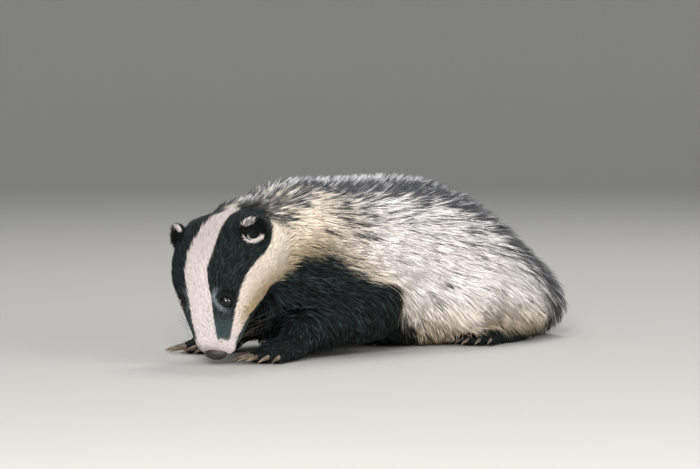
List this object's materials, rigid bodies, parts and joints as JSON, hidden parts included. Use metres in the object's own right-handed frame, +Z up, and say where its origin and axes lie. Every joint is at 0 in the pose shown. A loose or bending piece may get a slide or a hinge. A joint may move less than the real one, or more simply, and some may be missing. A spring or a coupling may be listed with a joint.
{
  "type": "european badger model",
  "caption": "Life-size still model of a European badger crouched low with its nose at the ground and its head turned a little to its left.",
  "frame": {"origin": "on the floor, under the middle of the model's bounding box", "axes": "the nose points to -Y and the tail lies at +Y, the animal's left is +X and +Z is up"},
  "size_m": [0.2246, 0.6394, 0.1915],
  "materials": {
    "face_coat": "short smooth hair, white with a black stripe through each eye",
    "grey_coat": "long coarse hair, pale at the root and tip with a dark band between",
    "dark_coat": "short dense hair, nearly black",
    "nose_skin": "moist bare skin, black",
    "eye": "wet gloss, nearly black"
  },
  "bodies": {
    "root": {"head": "face_coat", "lower_jaw": "face_coat", "nose": "nose_skin", "eye_left": "eye", "eye_right": "eye", "ear_left": "dark_coat", "ear_right": "dark_coat", "neck": "grey_coat", "torso_front": "grey_coat", "torso_rear": "grey_coat", "tail": "grey_coat", "foreleg_left": "dark_coat", "foreleg_right": "dark_coat", "hindleg_left": "dark_coat", "hindleg_right": "dark_coat", "forepaw_left": "dark_coat", "forepaw_right": "dark_coat", "hindpaw_left": "dark_coat", "hindpaw_right": "dark_coat"}
  },
  "joints": []
}
